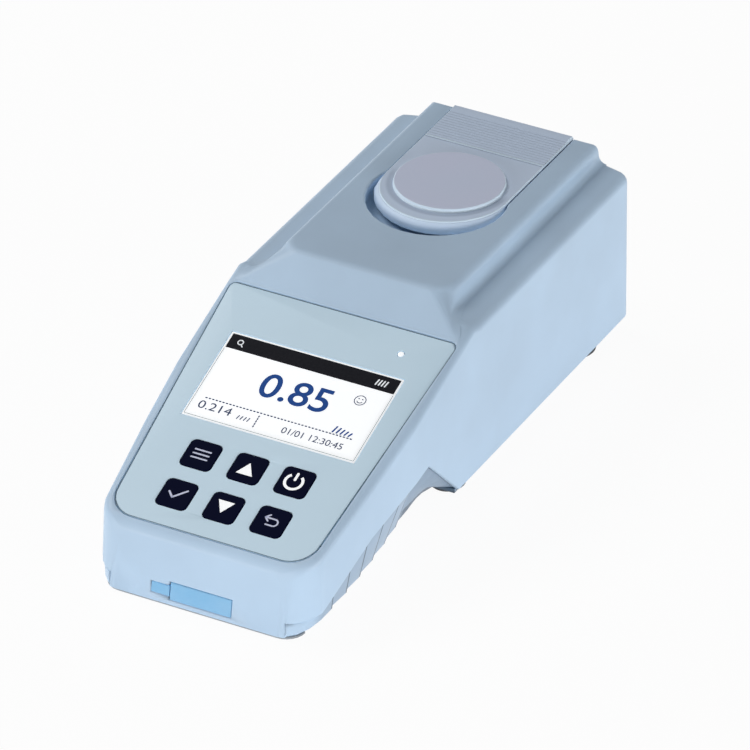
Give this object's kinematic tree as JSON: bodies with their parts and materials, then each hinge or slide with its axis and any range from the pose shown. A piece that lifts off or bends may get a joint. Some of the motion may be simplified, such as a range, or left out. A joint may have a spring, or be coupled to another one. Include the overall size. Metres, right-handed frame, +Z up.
{
  "type": "chlorine meter",
  "caption": "Hand-held water colorimeter: long light blue casing with a flip lid over a round sample well, sloping panel with display and keys, ribbed grip and rubber feet.",
  "frame": {"origin": "middle of the footprint, on the table that the feet rest on", "axes": "+Z up, +Y towards the rear face and the lid's hinge, -Y towards the front face, +X to the user's right"},
  "size_m": [0.0916, 0.2278, 0.0724],
  "materials": {
    "casing": "satin",
    "overlay": "satin",
    "screen": "gloss",
    "key": "satin",
    "lamp": "gloss",
    "lid": "satin",
    "blue_rubber": "matte",
    "dark_rubber": "matte",
    "sole_rubber": "matte",
    "steel": "satin",
    "black_plastic": "satin",
    "board": "satin",
    "filter_glass": "gloss",
    "battery_wrap": "satin",
    "cable": "satin"
  },
  "bodies": {
    "casing": {"upper_casing": "casing", "lower_casing": "casing", "battery_door": "casing", "front_overlay": "overlay", "display_screen": "screen", "display_backlight": "black_plastic", "key_switch_menu": "black_plastic", "key_switch_up": "black_plastic", "key_switch_power": "black_plastic", "key_switch_confirm": "black_plastic", "key_switch_down": "black_plastic", "key_switch_back": "black_plastic", "main_board": "board", "status_light_pipe": "lamp", "status_led": "lamp", "buzzer": "black_plastic", "board_screw_1": "steel", "board_screw_2": "steel", "board_screw_3": "steel", "board_screw_4": "steel", "hinge_pin": "steel", "sample_well": "black_plastic", "light_source": "lamp", "light_source_board": "board", "optical_filter": "filter_glass", "photodiode": "steel", "photodiode_board": "board", "signal_cable": "cable", "battery_pack": "battery_wrap", "battery_lead": "dark_rubber", "battery_door_screw_1": "steel", "battery_door_screw_2": "steel", "port_cover_anchor": "blue_rubber", "charging_port": "steel", "charging_board": "board", "rear_foot_left": "dark_rubber", "rear_foot_right": "dark_rubber", "middle_foot_left": "dark_rubber", "middle_foot_right": "dark_rubber", "front_foot_strip": "sole_rubber", "casing_screw_1": "steel", "casing_screw_2": "steel", "casing_screw_3": "steel", "casing_screw_4": "steel"},
    "lid": {"lid": "lid", "lid_seal": "dark_rubber", "lid_light_shield": "black_plastic"},
    "menu_key": {"key_menu": "key"},
    "up_key": {"key_up": "key"},
    "power_key": {"key_power": "key"},
    "confirm_key": {"key_confirm": "key"},
    "down_key": {"key_down": "key"},
    "back_key": {"key_back": "key"},
    "port_cover": {"port_cover": "blue_rubber"}
  },
  "joints": [
    {"name": "lid_hinge", "type": "hinge", "parent": "casing", "child": "lid", "pos_m": [0, 0.1096, 0.0661], "axis": [-1, 0, 0], "range_deg": [0, 93]},
    {"name": "menu_key_press", "type": "slide", "parent": "casing", "child": "menu_key", "axis": [0, 0.3345, -0.9424], "range_m": [0, 0.0005], "stiffness_N_per_m": 800, "springref_m": -0.0004},
    {"name": "up_key_press", "type": "slide", "parent": "casing", "child": "up_key", "axis": [0, 0.3345, -0.9424], "range_m": [0, 0.0005], "stiffness_N_per_m": 800, "springref_m": -0.0004},
    {"name": "power_key_press", "type": "slide", "parent": "casing", "child": "power_key", "axis": [0, 0.3345, -0.9424], "range_m": [0, 0.0005], "stiffness_N_per_m": 800, "springref_m": -0.0004},
    {"name": "confirm_key_press", "type": "slide", "parent": "casing", "child": "confirm_key", "axis": [0, 0.3345, -0.9424], "range_m": [0, 0.0005], "stiffness_N_per_m": 800, "springref_m": -0.0004},
    {"name": "down_key_press", "type": "slide", "parent": "casing", "child": "down_key", "axis": [0, 0.3345, -0.9424], "range_m": [0, 0.0005], "stiffness_N_per_m": 800, "springref_m": -0.0004},
    {"name": "back_key_press", "type": "slide", "parent": "casing", "child": "back_key", "axis": [0, 0.3345, -0.9424], "range_m": [0, 0.0005], "stiffness_N_per_m": 800, "springref_m": -0.0004},
    {"name": "port_cover_hinge", "type": "hinge", "parent": "casing", "child": "port_cover", "pos_m": [-0.0104, -0.113, 0.00605], "axis": [0, -0.1633, -0.9866], "range_deg": [0, 110]}
  ]
}
